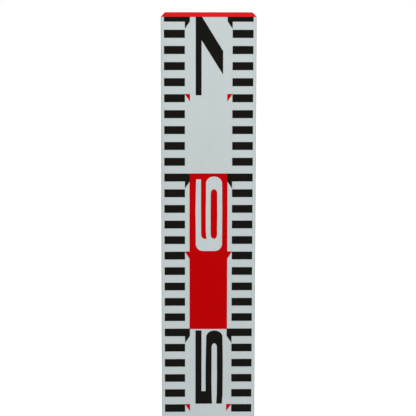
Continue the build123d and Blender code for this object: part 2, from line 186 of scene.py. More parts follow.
class StaffStageSettings(PropertyGroup):
    eye: FloatVectorProperty(name="Eye", description="Place of the camera", size=3, subtype="TRANSLATION",
                             unit="LENGTH", default=(-0.01763, -0.902433, 0.708))
    yaw: angle("Yaw", "Turn of the camera about the upright, to the left", -1.1188)
    pitch: angle("Pitch", "Tilt of the camera below the level", 8.3200)
    roll: angle("Roll", "Turn of the camera about its line of sight", -0.0924)
    lens: amount("Lens", "Focal length on a 36 mm sensor", 122.692, unit="CAMERA")
    sky: amount("Sky", "Light of the white surroundings", 0.56)
    sun: amount("Main light", "Light of the wide lamp in front", 0.93)
    fill: amount("Back light", "Light of the wide lamp behind", 0.9)
    glow: amount("Top light", "Power of the panel near the cap", 0.8, unit="POWER")
    shine: amount("Floor", "Light that the eye sees from the floor beyond what falls on it", 0.42)


# printed marks: every mark is a grid of points in the plane of a face


def patches(left, right, low, high):
    """Upright rectangles, each the bilinear map of the unit square: left to right across, low to high up."""
    left, right, low, high = np.broadcast_arrays(left, right, low, high)
    lower = np.stack([np.stack([left, low], -1), np.stack([right, low], -1)], -2)
    upper = np.stack([np.stack([left, high], -1), np.stack([right, high], -1)], -2)
    return np.stack([lower, upper], -3)


def right_triangles(square, beside, under):
    """Triangles as grids whose second row is one point: right angle and corner beside it, corner under it."""
    return np.stack([np.stack([square, beside], -2), np.stack([under, under], -2)], -3)


def both_sides(grids):
    """The marks of the right half of the face and their mirror images on the left half."""
    return np.concatenate([grids, grids * np.array([-1.0, 1.0])])


def ruled(*runs):
    """A stroke between two rails: each run has as many points on the one as on the other, joined in pairs."""
    one = np.concatenate([np.reshape(run[0], (-1, 2)) for run in runs])
    other = np.concatenate([np.reshape(run[1], (-1, 2)) for run in runs])
    return np.stack([one, other], 1).astype(float)


def arc(centre, size, start, stop, count):
    """Points on an ellipse: centre plus half axes times cosine and sine of an evenly stepped angle."""
    turn = np.radians(np.linspace(start, stop, count))
    return np.stack([centre[0] + size[0] * np.cos(turn), centre[1] + size[1] * np.sin(turn)], -1)


def rounded(low, high, radius, count):
    """A closed rectangle with round corners: quarter circles about the corners of a smaller rectangle."""
    left, right = low[0] + radius, high[0] - radius
    lower, upper = low[1] + radius, high[1] - radius
    places = [(right, upper), (left, upper), (left, lower), (right, lower)]
    starts = [0, 90, 180, 270]
    quarters = [arc(place, (radius, radius), start, start + 90, count)
                for place, start in zip(places, starts)]
    return np.concatenate(quarters + [quarters[0][:1]])


# digits in millimetres, reading to the right and upright: thin level strokes and thick upright ones


def zero(half):
    """A ring between two rounded rectangles."""
    return [ruled((rounded((0, 0), (48.0, 17.1), 5.5, half), rounded((8.0, 3.5), (40.0, 13.6), 2.4, half)))]


def one():
    """A stem, a flag at its head and a foot under it."""
    stem = ruled(([(22.0, 17.1), (22.0, 13.0), (22.0, 3.4)], [(31.0, 17.1), (31.0, 13.0), (31.0, 3.4)]))
    flag = ruled(([(22.0, 17.1), (10.0, 13.9)], [(22.0, 13.0), (10.0, 10.4)]))
    foot = ruled(([(8.0, 3.4), (22.0, 3.4), (31.0, 3.4), (45.0, 3.4)],
                  [(8.0, 0.0), (22.0, 0.0), (31.0, 0.0), (45.0, 0.0)]))
    return [stem, flag, foot]


def three(half):
    """A back that turns through two quarter circles, and a waist."""
    back = ruled(
        ([(0.5, 17.1)], [(0.5, 13.6)]),
        (arc((42.5, 11.6), (5.5, 5.5), 90, 0, half), arc((37.6, 11.2), (2.4, 2.4), 90, 0, half)),
        ([(48.0, 10.3), (48.0, 6.8)], [(40.0, 10.3), (40.0, 6.8)]),
        (arc((42.5, 5.5), (5.5, 5.5), 0, -90, half), arc((37.6, 5.9), (2.4, 2.4), 0, -90, half)),
        ([(0.5, 0.0)], [(0.5, 3.5)]))
    waist = ruled(([(12.0, 10.3), (40.0, 10.3)], [(12.0, 6.8), (40.0, 6.8)]))
    return [back, waist]


def four():
    """A stem, a slope, the bar under it and its stub beyond the stem."""
    stem = ruled(([(29.0, 17.1), (29.0, 12.6), (29.0, 7.6), (29.0, 4.2), (29.0, 0.0)],
                  [(38.0, 17.1), (38.0, 12.6), (38.0, 7.6), (38.0, 4.2), (38.0, 0.0)]))
    slope = ruled(([(29.0, 17.1), (0.0, 7.6)], [(29.0, 12.6), (13.5, 7.6)]))
    bar = ruled(([(0.0, 7.6), (13.5, 7.6), (29.0, 7.6)], [(0.0, 4.2), (13.5, 4.2), (29.0, 4.2)]))
    stub = ruled(([(38.0, 7.6), (48.0, 7.6)], [(38.0, 4.2), (48.0, 4.2)]))
    return [stem, slope, bar, stub]


def five(fine):
    """One stroke: flag, waist, half an ellipse and tail."""
    flag = ([(48.2, 17.32), (-0.2, 17.32)], [(48.2, 13.42), (8.1, 13.42)])
    waist = ([(-0.2, 6.6), (5.0, 6.83), (14.0, 7.0), (28.0, 6.95)],
             [(8.1, 10.76), (12.0, 10.78), (20.0, 10.8), (28.3, 10.72)])
    bend = (arc((36.95, 5.25), (2.8, 1.7), 90, -90, fine), arc((43.9, 5.2), (4.2, 5.2), 90, -90, fine))
    tail = ([(28.0, 3.49), (20.0, 3.44), (5.8, 3.57), (-0.2, 3.9)],
            [(28.0, -0.26), (20.0, -0.22), (5.8, -0.16), (-0.2, 0.3)])
    return [ruled(flag, waist, bend, tail)]


def six(half, fine):
    """A hook that runs into a closed bowl."""
    hook = ruled(
        ([(45.7, 16.86), (36.0, 17.12), (24.0, 17.32), (14.0, 17.1)],
         [(45.7, 13.86), (36.0, 13.9), (24.0, 13.88), (14.0, 13.8)]),
        (arc((4.4, 12.6), (4.5, 4.5), 90, 180, half), arc((10.6, 11.65), (2.9, 2.1), 90, 180, half)),
        ([(-0.1, 10.35)], [(7.6, 10.2)]))
    bowl = ruled(
        ([(-0.1, 10.35), (-0.1, 5.8)], [(8.4, 7.1), (7.6, 5.64)]),
        (arc((4.4, 5.0), (4.5, 4.5), 182, 270, half), arc((10.4, 5.64), (2.8, 2.03), 188, 270, half)),
        ([(24.0, 0.42)], [(24.0, 3.52)]),
        (arc((43.2, 5.6), (4.3, 5.05), -90, 90, fine), arc((36.7, 5.64), (2.8, 2.07), -90, 90, fine)),
        ([(33.0, 10.68), (24.0, 10.82), (14.0, 10.75)], [(32.0, 7.72), (24.0, 7.76), (14.0, 7.74)]),
        ([(9.0, 10.5), (7.6, 10.2), (-0.1, 10.35)], [(10.4, 7.7), (9.3, 7.56), (8.4, 7.1)]))
    return [hook, bowl]


def seven():
    """A flag and a slope."""
    flag = ruled(([(48.0, 17.2), (33.0, 17.2), (-1.25, 17.2)],
                  [(48.0, 13.54), (33.0, 13.54), (-1.25, 13.54)]))
    slope = ruled(([(48.0, 13.54), (48.0, 13.2), (26.2, 0.09)],
                   [(33.0, 13.54), (32.45, 13.2), (11.65, 0.09)]))
    return [flag, slope]


def eight(half):
    """A ring between two rounded rectangles, and an arch that stands on it."""
    outer = rounded((0, 0), (48.0, 10.3), 4.6, half)
    inner = rounded((8.0, 3.5), (40.0, 6.9), 1.6, half)
    outer = np.insert(outer, half, [(36.0, 10.3), (12.0, 10.3)], axis=0)
    inner = np.insert(inner, half, [(36.0, 6.9), (12.0, 6.9)], axis=0)
    arch = ruled(
        ([(4.6, 10.3)], [(12.0, 10.3)]),
        (arc((9.1, 12.6), (4.5, 4.5), 180, 90, half), arc((13.4, 12.2), (1.4, 1.4), 180, 90, half)),
        (arc((38.9, 12.6), (4.5, 4.5), 90, 0, half), arc((34.6, 12.2), (1.4, 1.4), 90, 0, half)),
        ([(43.4, 10.3)], [(36.0, 10.3)]))
    return [ruled((outer, inner)), arch]


@lru_cache
def digits(fine):
    """The strokes of the ten digits, with fine points on a half circle.

    The two is the five upside down, and the nine is the six turned by half a turn.
    """
    half = max(fine // 2, 3)
    two = [stroke * np.array([1.0, -1.0]) + np.array([0.0, NUMERAL_TALL]) for stroke in five(fine)]
    far_corner = np.array([47.6, 17.3])
    nine = [far_corner - stroke for stroke in six(half, fine)]
    return [zero(half), one(), two, three(half), four(),
            five(fine), six(half, fine), seven(), eight(half), nine]


def written(number, wide, gap, fine):
    """The digits of a whole number side by side, wide millimetres each: their middles and strokes."""
    row = []
    for place, digit in enumerate(str(number)):
        left = place * (wide + gap)
        widen = np.array([wide / NUMERAL_WIDE, 1.0])
        strokes = [stroke * widen + np.array([left, 0.0]) for stroke in digits(fine)[int(digit)]]
        row.append((left + wide / 2, strokes))
    return row


# places of the print on a section


def section_half(section):
    """Half the width, half the depth and the upper end of a section, from its solid."""
    low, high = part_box(f"section_tube_{section}")
    return high.x, high.y, high.z


def draw_of(section):
    """How much higher a section stands when the staff is drawn right out."""
    return (section - 1) * TRAVEL


def print_zone(section):
    """Lowest and highest place of the print: on an inner section, what shows when it is drawn right out."""
    top = section_half(section)[2]
    if section == 1:
        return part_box("section_tube_1")[0].z, top
    return section_half(section - 1)[2] - TRAVEL - MOUTH_LAP, top


def scale_lines(section, step):
    """Numbers and places of a scale's lines: the height above the foot, less the draw of the section."""
    low, high = print_zone(section)
    draw = draw_of(section)
    first = np.ceil((low + draw) / step)
    last = np.floor((high + draw + LINE_REACH) / step)
    numbers = np.arange(first, last + 1)
    return numbers.astype(int), numbers * step - draw


def cut_at(grids, section):
    """Draws heights beyond the printed zone back to its ends, and drops the marks that this empties."""
    low, high = print_zone(section)
    held = grids.copy()
    held[..., 1] = np.clip(held[..., 1], low, high)
    rise = np.ptp(held[..., 1].reshape(len(held), -1), axis=1)
    return held[rise > LEAST_MARK]


def front_bars(section, settings):
    """Centimetre bars, rectangles hung from their lines. Decimetre ones reach further in, over wedges."""
    numbers, heights = scale_lines(section, CENTIMETRE)
    outer = section_half(section)[0] - settings.bar_margin
    whole = numbers % 10 == 0
    tops = heights + settings.bar_lift
    inner = np.where(whole, settings.long_inner, settings.bar_inner)
    bars = patches(inner, np.full(len(inner), outer), tops - settings.bar_height, tops)
    under = tops[whole] - settings.bar_height
    square = np.stack([np.full(len(under), settings.bar_inner), under], -1)
    reach = settings.bar_inner - settings.long_inner - settings.wedge_gap
    wedges = right_triangles(square, square - np.array([reach, 0.0]),
                             square - np.array([0.0, settings.wedge_height]))
    return [both_sides(cut_at(bars, section)), both_sides(cut_at(wedges, section))]


def front_blocks(section, settings):
    """Red blocks a decimetre tall under even lines, and a right triangle at every odd five centimetres."""
    low, high = print_zone(section)
    draw = draw_of(section)
    lines = np.arange(np.ceil((low + draw) / DECIMETRE), np.ceil((high + draw) / DECIMETRE) + 1)
    tops = lines[lines % 2 == 0] * DECIMETRE - draw
    blocks = patches(-settings.block_half, settings.block_half, tops - DECIMETRE - settings.block_lift,
                     tops + settings.block_lift)
    numbers, heights = scale_lines(section, CENTIMETRE)
    middle = numbers % 10 == 5
    tops = heights[middle] + settings.mark_lift
    beside_block = numbers[middle] // 10 % 2 == 1
    square = np.stack([np.where(beside_block, settings.block_half, settings.mark_inner), tops], -1)
    beside = np.stack([np.full(len(tops), settings.bar_inner + settings.mark_lap), tops], -1)
    marks = right_triangles(square, beside, square - np.array([0.0, settings.mark_height]))
    return [cut_at(blocks, section), both_sides(cut_at(marks, section))]


def front_numerals(section, settings, odd):
    """Odd or even decimetre numbers, turned a quarter to the left so that they read up the staff.

    A digit is printed on the section that shows its middle, and ends where the printed zone does.
    """
    low, high = print_zone(section)
    draw = draw_of(section)
    last = np.floor((high + draw + settings.numeral_start) / DECIMETRE)
    numbers = np.arange(np.ceil((low + draw) / DECIMETRE), last + 1).astype(int)
    grids = []
    for number in numbers[numbers % 2 == odd]:
        start = number * DECIMETRE - draw - settings.numeral_start
        wide, gap = (NUMERAL_WIDE, 0.0) if number < 10 else (PAIR_WIDE, PAIR_GAP)
        for middle, strokes in written(number, wide, gap, FRONT_FINE):
            if low < start + middle * MM < high:
                along = [np.clip(start + stroke[..., 0] * MM, low, high) for stroke in strokes]
                across = [settings.numeral_foot - stroke[..., 1] * MM for stroke in strokes]
                grids += [np.stack(pair, -1)[None] for pair in zip(across, along)]
    return grids


def back_ticks(section, settings):
    """Millimetre ticks along the right edge seen from behind: thin rectangles, longer at five and at ten."""
    numbers, heights = scale_lines(section, MM)
    outer = section_half(section)[0] - settings.bar_margin
    reach = np.select([numbers % 10 == 0, numbers % 5 == 0], [settings.tick_ten, settings.tick_five],
                      settings.tick_one)
    half = settings.tick / 2
    ticks = patches(outer - reach, np.full(len(reach), outer), heights - half, heights + half)
    return [cut_at(ticks, section)]


def back_numbers(section, settings):
    """Upright numbers beside the ticks: small ones at the centimetres, taller ones at the decimetres."""
    low, high = print_zone(section)
    plate_low, plate_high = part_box("level_base")
    right = section_half(section)[0] - settings.bar_margin - settings.number_inset
    clear = settings.plate_clear
    grids = []
    for number, height in zip(*scale_lines(section, CENTIMETRE)):
        whole = number % 10 == 0
        text = number // 10 if whole else number % 10
        tall, wide = DECIMETRE_DIGIT if whole else CENTIMETRE_DIGIT
        under_plate = section == 1 and plate_low.z - clear < height < plate_high.z + clear
        if text < 1 or under_plate or height - tall / 2 * MM < low or height + tall / 2 * MM > high:
            continue
        span = len(str(text)) * (wide + BACK_GAP) - BACK_GAP
        for _, strokes in written(text, wide, BACK_GAP, BACK_FINE):
            across = [right + (stroke[..., 0] - span) * MM for stroke in strokes]
            along = [height + (stroke[..., 1] / NUMERAL_TALL - 0.5) * tall * MM for stroke in strokes]
            grids += [np.stack(pair, -1)[None] for pair in zip(across, along)]
    return grids


# meshes


def sheet_mesh(name, grids, to_space):
    """One mesh of all the grids: each cell is a face, turned to run round to the left seen from outside.

    A cell with two corners in one place becomes a triangle.
    """
    points, cells, count = [], [], 0
    for grid in grids:
        copies, rows, columns = grid.shape[:3]
        index = np.arange(copies * rows * columns).reshape(copies, rows, columns) + count
        ring = np.stack([index[:, :-1, :-1], index[:, :-1, 1:], index[:, 1:, 1:], index[:, 1:, :-1]], -1)
        points.append(grid.reshape(-1, 2))
        cells.append(ring.reshape(-1, 4))
        count += index.size
    flat, joined = np.unique(np.round(np.concatenate(points), SNAP_PLACES), axis=0, return_inverse=True)
    faces = joined.reshape(-1)[np.concatenate(cells)]
    corners = flat[faces]
    after = np.roll(corners, -1, axis=1)
    turn = (corners[..., 0] * after[..., 1] - corners[..., 1] * after[..., 0]).sum(1)
    faces = np.where(turn[:, None] < 0, faces[:, ::-1], faces)[np.abs(turn) > LEAST_CELL]
    twin = faces == np.roll(faces, 1, axis=1)
    pinched = twin.any(1)
    triangles = faces[pinched][~twin[pinched]].reshape(-1, 3)
    mesh = bpy.data.meshes.new(name)
    mesh.from_pydata(to_space(flat), [], [*faces[~pinched].tolist(), *triangles.tolist()])
    mesh.validate()
    mesh.update()
    return mesh


def lay_film(name, grids, to_space, film, material, body):
    """A printed film: the sheet of all its marks, thickened inwards, riding on the body that carries it."""
    piece = bpy.data.objects.new(name, sheet_mesh(name, grids, to_space))
    bpy.context.scene.collection.objects.link(piece)
    piece.data.materials.append(material)
    wall = piece.modifiers.new("film", "SOLIDIFY")
    wall.thickness = film
    wall.offset = -1.0
    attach(piece, body)


def print_face(name, grids, section, side, layer, ink):
    """Prints marks on a face of a section: side -1 is the front, +1 the back, seen from its own outside."""
    settings = bpy.context.scene.staff_print
    top, thickness = layer
    depth = section_half(section)[1] - settings.face_recess + top * settings.film

    def place(flat):
        return np.stack([-side * flat[:, 0], np.full(len(flat), side * depth), flat[:, 1]], -1)

    lay_film(f"{name}_{section}", grids, place, thickness * settings.film, ink, f"section_{section}")


def bowed_leaf(low, high, thickness, steps):
    """Rings of points along a bowed strip that fills the box from low to high, standing on its two ends.

    Its outside is an arc of a circle through both ends and the crown, so its radius is the square of the
    rise plus that of the half span, over twice the rise. Its inside has the same centre. Each ring goes
    from the outside over the upper edge to the inside and back over the lower edge, at equal shares of the
    angle between the crown and the end of each arc.
    """
    half = (high.x - low.x) / 2
    rise = high.y - low.y
    radius = (rise ** 2 + half ** 2) / (2 * rise)
    inner = radius - thickness
    share = np.linspace(-1.0, 1.0, steps)
    outside = share * np.arcsin(half / radius)
    inside = share * np.arccos((radius - rise) / inner)
    reach = np.stack([radius * np.sin(outside), inner * np.sin(inside)], -1)[:, [0, 1, 1, 0]]
    bow = np.stack([radius * np.cos(outside), inner * np.cos(inside)], -1)[:, [0, 1, 1, 0]]
    across = np.broadcast_to([high.z, high.z, low.z, low.z], reach.shape)
    return np.stack([reach + (high.x + low.x) / 2, high.y - radius + bow, across], -1)


def ring_mesh(name, rings):
    """A closed mesh of rings along a path: points joined to their neighbours, and both ends capped."""
    steps, around = rings.shape[:2]
    index = np.arange(steps * around).reshape(steps, around)
    after = np.roll(index, -1, axis=1)
    walls = np.stack([index[:-1], after[:-1], after[1:], index[1:]], -1).reshape(-1, 4)
    ends = [index[0, ::-1].tolist(), index[-1].tolist()]
    mesh = bpy.data.meshes.new(name)
    mesh.from_pydata(rings.reshape(-1, 3), [], [*walls.tolist(), *ends])
    mesh.validate()
    mesh.update()
    return mesh


# finishes


class Finish:
    """A material under way: its nodes, its shader, and short ways to add textures on object coordinates."""

    def __init__(self, name, metallic=0.0, specular=0.5):
        self.material = bpy.data.materials.new(name)
        self.material.use_nodes = True
        self.nodes = self.material.node_tree.nodes
        self.links = self.material.node_tree.links
        self.shader = self.nodes["Principled BSDF"]
        self.set("Metallic", metallic)
        self.set("Specular IOR Level", specular)
        self.place = self.nodes.new("ShaderNodeTexCoord").outputs["Object"]

    def set(self, socket, value):
        self.shader.inputs[socket].default_value = value

    def join(self, source, target):
        self.links.new(source, target)

    def noise(self, scale, detail=3.0, stretch=(1.0, 1.0, 1.0)):
        """Noise with about scale spots to the metre, drawn out along the axes with a small stretch."""
        turned = self.nodes.new("ShaderNodeMapping")
        turned.inputs["Scale"].default_value = stretch
        self.join(self.place, turned.inputs["Vector"])
        spots = self.nodes.new("ShaderNodeTexNoise")
        spots.inputs["Scale"].default_value = scale
        spots.inputs["Detail"].default_value = detail
        self.join(turned.outputs["Vector"], spots.inputs["Vector"])
        return spots.outputs["Fac"]

    def ramp(self, value, low, high, start, stop):
        """Takes low..high of a value to start..stop along a straight line, held at both ends."""
        step = self.nodes.new("ShaderNodeMapRange")
        for socket, number in (("From Min", low), ("From Max", high), ("To Min", start), ("To Max", stop)):
            step.inputs[socket].default_value = number
        self.join(value, step.inputs["Value"])
        return step.outputs["Result"]

    def spread(self, noise, start=0.0, stop=1.0):
        """Takes the middle of a noise's range, where most of the surface lies, to start..stop."""
        return self.ramp(noise, 0.3, 0.7, start, stop)

    def sums(self, kind, one, other):
        """One of the arithmetic steps between two values, or between a value and a number."""
        node = self.nodes.new("ShaderNodeMath")
        node.operation = kind
        for socket, value in zip(node.inputs, (one, other)):
            if isinstance(value, (int, float)):
                socket.default_value = value
            else:
                self.join(value, socket)
        return node.outputs["Value"]

    def mix(self, share, one, other):
        """The one colour where the share is 0, the other where it is 1."""
        node = self.nodes.new("ShaderNodeMix")
        node.data_type = "RGBA"
        self.join(share, node.inputs[0])
        for socket, value in ((node.inputs[6], one), (node.inputs[7], other)):
            if isinstance(value, tuple):
                socket.default_value = (*value, 1.0)
            else:
                self.join(value, socket)
        return node.outputs[2]

    def axis(self, name):
        """The distance along one axis, as a value."""
        split = self.nodes.new("ShaderNodeSeparateXYZ")
        self.join(self.place, split.inputs["Vector"])
        return split.outputs[name]

    def bump(self, value, depth, strength):
        """Relief that follows a value, of a depth in metres."""
        node = self.nodes.new("ShaderNodeBump")
        node.inputs["Strength"].default_value = strength
        node.inputs["Distance"].default_value = depth
        self.join(value, node.inputs["Height"])
        self.join(node.outputs["Normal"], self.shader.inputs["Normal"])

    def finish(self, base, rough):
        """Links the colour and the roughness to the shader, and hands over the material."""
        self.join(base, self.shader.inputs["Base Color"])
        self.join(rough, self.shader.inputs["Roughness"])
        return self.material


def shade(tint, factor):
    """A colour made lighter or darker by a factor."""
    return tuple(min(1.0, part * factor) for part in tint)


def rail_share(made, axis, half):
    """0 on the faces and 1 on the rails of a section, by the distance from its middle along an axis."""
    away = made.sums("ABSOLUTE", made.axis(axis), 0.0)
    return made.ramp(away, half - RAIL_WEAR[0], half - RAIL_WEAR[1], 0.0, 1.0)


def coat_finish(name, tint, bare, low, high):
    """Satin coat: faint clouds, draw lines along the staff and fine orange peel, rubbed dull along the rails.

    The cut ends are bare. low and high are the corners of the section.
    """
    made = Finish(name, specular=0.4)
    clouds = made.noise(28.0, detail=4.0)
    lines = made.noise(1.0, detail=2.0, stretch=(1400.0, 1400.0, 9.0))
    tone = made.sums("ADD", made.spread(clouds, 0.0, 0.6), made.ramp(lines, 0.35, 0.65, 0.0, 0.4))
    base = made.mix(tone, shade(tint, 0.965), shade(tint, 1.03))
    rails = made.sums("MULTIPLY", rail_share(made, "X", high.x), rail_share(made, "Y", high.y))
    rub = made.ramp(made.noise(160.0, detail=5.0, stretch=(1.0, 1.0, 0.25)), 0.57, 0.66, 0.0, 0.55)
    base = made.mix(made.sums("MULTIPLY", rails, rub), base, shade(tint, 0.8))
    height = made.axis("Z")
    lower = made.ramp(height, low.z + END_SKIN[0], low.z + END_SKIN[1], 1.0, 0.0)
    upper = made.ramp(height, high.z - END_SKIN[1], high.z - END_SKIN[0], 0.0, 1.0)
    base = made.mix(made.sums("MAXIMUM", lower, upper), base, bare)
    made.bump(made.noise(2600.0, detail=2.0), depth=0.02 * MM, strength=0.25)
    return made.finish(base, made.spread(clouds, 0.4, 0.5))


def ink_finish(name, tint, uneven=0.08):
    """Screen ink: dull, and a little uneven in cover. Its relief is the height of the film."""
    made = Finish(name, specular=0.025)
    cover = made.noise(420.0, detail=4.0)
    base = made.mix(made.spread(cover), shade(tint, 1.0 - uneven), shade(tint, 1.0 + uneven))
    return made.finish(base, made.spread(cover, 0.5, 0.62))


def moulded_finish(name, tint, rough, specular):
    """Moulded plastic: fine spark grain, slight clouds in the colour, and paler scuffs here and there."""
    made = Finish(name, specular=specular)
    clouds = made.noise(120.0)
    scuffs = made.ramp(made.noise(520.0, detail=5.0, stretch=(1.0, 1.0, 0.4)), 0.64, 0.74, 0.0, 0.22)
    base = made.mix(made.spread(clouds), shade(tint, 0.94), shade(tint, 1.06))
    base = made.mix(scuffs, base, tuple(0.7 * part + 0.12 for part in tint))
    made.bump(made.noise(3200.0, detail=2.0), depth=0.03 * MM, strength=0.3)
    return made.finish(base, made.spread(clouds, *rough))


def metal_finish(name, tint, rough, stretch, dirt):
    """Worked metal: fine lines along the way it was drawn or brushed, with dull, dark spots from handling."""
    made = Finish(name, metallic=1.0)
    lines = made.noise(1.0, stretch=stretch)
    spots = made.noise(260.0, detail=4.0)
    base = made.mix(made.spread(lines), shade(tint, 0.88), shade(tint, 1.05))
    base = made.mix(made.ramp(spots, 0.58, 0.75, 0.0, dirt), base, shade(tint, 0.55))
    dull = made.sums("ADD", made.spread(lines, *rough), made.ramp(spots, 0.5, 0.75, 0.0, 0.12))
    made.bump(lines, depth=0.01 * MM, strength=0.2)
    return made.finish(base, dull)


def clear_finish(name, tint, index, share=1.0):
    """Clear plastic, liquid or air: a share of the light passes, tinted, with a few handling marks."""
    made = Finish(name)
    made.set("Transmission Weight", share)
    made.set("IOR", index)
    clouds = made.noise(180.0)
    base = made.mix(made.spread(clouds), shade(tint, 0.97), tint)
    made.bump(made.noise(300.0, detail=1.0), depth=0.002 * MM, strength=0.1)
    return made.finish(base, made.ramp(clouds, 0.4, 0.75, 0.02, 0.07))


def dress(material, *nodes):
    """Gives the material to solids of the frame, leaving their shapes as they are."""
    for name in nodes:
        slots = frame["nodes"][name].data.materials
        slots.clear()
        slots.append(material)


def each(stem, first=1, last=len(SECTIONS)):
    """The names of nodes that are numbered by their sections."""
    return [f"{stem}_{number}" for number in range(first, last + 1)]


# operators


class STAFF_OT_coat_sections(Operator):
    """Gives every section its satin coat"""
    bl_idname = "staff.coat_sections"
    bl_label = "Coat the sections"

    def execute(self, context):
        settings = context.scene.staff_finish
        for section in SECTIONS:
            low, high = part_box(f"section_tube_{section}")
            coat = coat_finish(f"satin_coat_{section}", tuple(settings.coat), tuple(settings.bare), low, high)
            dress(coat, f"section_tube_{section}")
        return {"FINISHED"}


class STAFF_OT_print_black(Operator):
    """Prints the centimetre bars, the wedges and the odd numerals on the front of every section"""
    bl_idname = "staff.print_black"
    bl_label = "Print the black marks"

    def execute(self, context):
        settings = context.scene.staff_print
        ink = ink_finish("black_ink", tuple(settings.black))
        for section in SECTIONS:
            grids = front_bars(section, settings) + front_numerals(section, settings, 1)
            print_face("print_black", grids, section, -1, BLACK_LAYER, ink)
        return {"FINISHED"}


class STAFF_OT_print_red(Operator):
    """Prints the red blocks and the five centimetre triangles on the front of every section"""
    bl_idname = "staff.print_red"
    bl_label = "Print the red marks"

    def execute(self, context):
        settings = context.scene.staff_print
        ink = ink_finish("red_ink", tuple(settings.red), uneven=0.045)
        for section in SECTIONS:
            print_face("print_red", front_blocks(section, settings), section, -1, RED_LAYER, ink)
        return {"FINISHED"}


class STAFF_OT_print_pale(Operator):
    """Prints the pale numerals over the red blocks"""
    bl_idname = "staff.print_pale"
    bl_label = "Print the pale numerals"

    def execute(self, context):
        settings = context.scene.staff_print
        ink = ink_finish("pale_ink", tuple(settings.pale), uneven=0.025)
        for section in SECTIONS:
            print_face("print_pale", front_numerals(section, settings, 0), section, -1, PALE_LAYER, ink)
        return {"FINISHED"}


class STAFF_OT_print_back(Operator):
    """Prints the millimetre scale on the back of every section"""
    bl_idname = "staff.print_back"
    bl_label = "Print the millimetre scale"

    def execute(self, context):
        settings = context.scene.staff_print
        ink = ink_finish("scale_ink", tuple(settings.black))
        for section in SECTIONS:
            grids = back_ticks(section, settings) + back_numbers(section, settings)
            print_face("print_back", grids, section, 1, BACK_LAYER, ink)
        return {"FINISHED"}


class STAFF_OT_finish_cap(Operator):
    """Gives the cap its moulded red plastic"""
    bl_idname = "staff.finish_cap"
    bl_label = "Finish the cap"

    def execute(self, context):
        red = tuple(context.scene.staff_finish.cap)
        dress(moulded_finish("cap_plastic", red, rough=(0.34, 0.44), specular=0.14), "top_cap")
        return {"FINISHED"}


class STAFF_OT_finish_slides(Operator):
    """Finishes the plugs, bushes, pins and buttons that the sections slide and lock with"""
    bl_idname = "staff.finish_slides"
    bl_label = "Finish the slides and locks"

    def execute(self, context):
        settings = context.scene.staff_finish
        plastic = moulded_finish("plug_plastic", tuple(settings.moulding), rough=(0.5, 0.62), specular=0.35)
        nylon = moulded_finish("bush_nylon", tuple(settings.nylon), rough=(0.42, 0.52), specular=0.4)
        steel = metal_finish("turned_steel", tuple(settings.steel), rough=(0.22, 0.32),
                             stretch=(60.0, 900.0, 900.0), dirt=0.3)
        dress(plastic, *each("end_plug", 2))
        dress(nylon, *each("mouth_bush", 1, len(SECTIONS) - 1))
        dress(steel, *each("plug_pins"), "cap_pins", *each("lock_button", 2))
        return {"FINISHED"}


class STAFF_OT_bow_springs(Operator):
    """Makes the leaf springs as bowed strips behind the buttons"""
    bl_idname = "staff.bow_springs"
    bl_label = "Bow the leaf springs"

    def execute(self, context):
        settings = context.scene.staff_finish
        blued = metal_finish("blued_strip", tuple(settings.spring), rough=(0.28, 0.4),
                             stretch=(40.0, 900.0, 900.0), dirt=0.35)
        for section in SECTIONS[1:]:
            node = f"lock_spring_{section}"
            name = f"leaf_{section}"
            low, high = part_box(node)
            mesh = ring_mesh(name, bowed_leaf(low, high, settings.leaf, LEAF_STEPS))
            leaf = bpy.data.objects.new(name, mesh)
            context.scene.collection.objects.link(leaf)
            mesh.materials.append(blued)
            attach(leaf, f"section_{section}")
            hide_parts(node)
            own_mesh(leaf)
        return {"FINISHED"}


class STAFF_OT_finish_foot(Operator):
    """Finishes the foot plate, its plug and its screws"""
    bl_idname = "staff.finish_foot"
    bl_label = "Finish the foot"

    def execute(self, context):
        settings = context.scene.staff_finish
        plate = metal_finish("brushed_plate", tuple(settings.plate), rough=(0.3, 0.46),
                             stretch=(30.0, 1200.0, 1200.0), dirt=0.6)
        screws = metal_finish("screw_steel", tuple(settings.steel), rough=(0.24, 0.36),
                              stretch=(400.0, 400.0, 900.0), dirt=0.5)
        plastic = moulded_finish("foot_plastic", tuple(settings.moulding), rough=(0.5, 0.62), specular=0.35)
        dress(plate, "foot_plate")
        dress(screws, "foot_screws")
        dress(plastic, "foot_plug")
        return {"FINISHED"}


class STAFF_OT_finish_level(Operator):
    """Finishes the folding level"""
    bl_idname = "staff.finish_level"
    bl_label = "Finish the level"

    def execute(self, context):
        settings = context.scene.staff_finish
        plastic = moulded_finish("level_plastic", tuple(settings.moulding), rough=(0.46, 0.6), specular=0.4)
        rivets = metal_finish("rivet_metal", tuple(settings.rivet), rough=(0.26, 0.38),
                              stretch=(500.0, 900.0, 500.0), dirt=0.35)
        steel = metal_finish("pin_steel", tuple(settings.steel), rough=(0.22, 0.32),
                             stretch=(40.0, 900.0, 900.0), dirt=0.3)
        dress(plastic, "level_base", "level_arm", "level_bezel")
        dress(rivets, "level_rivets")
        dress(steel, "level_hinge_pin")
        dress(clear_finish("vial_acrylic", tuple(settings.acrylic), index=1.49), "level_vial")
        dress(clear_finish("vial_liquid", tuple(settings.liquid), index=1.36, share=0.4), "level_liquid")
        dress(clear_finish("vial_air", tuple(settings.air), index=1.0, share=0.5), "level_bubble")
        return {"FINISHED"}


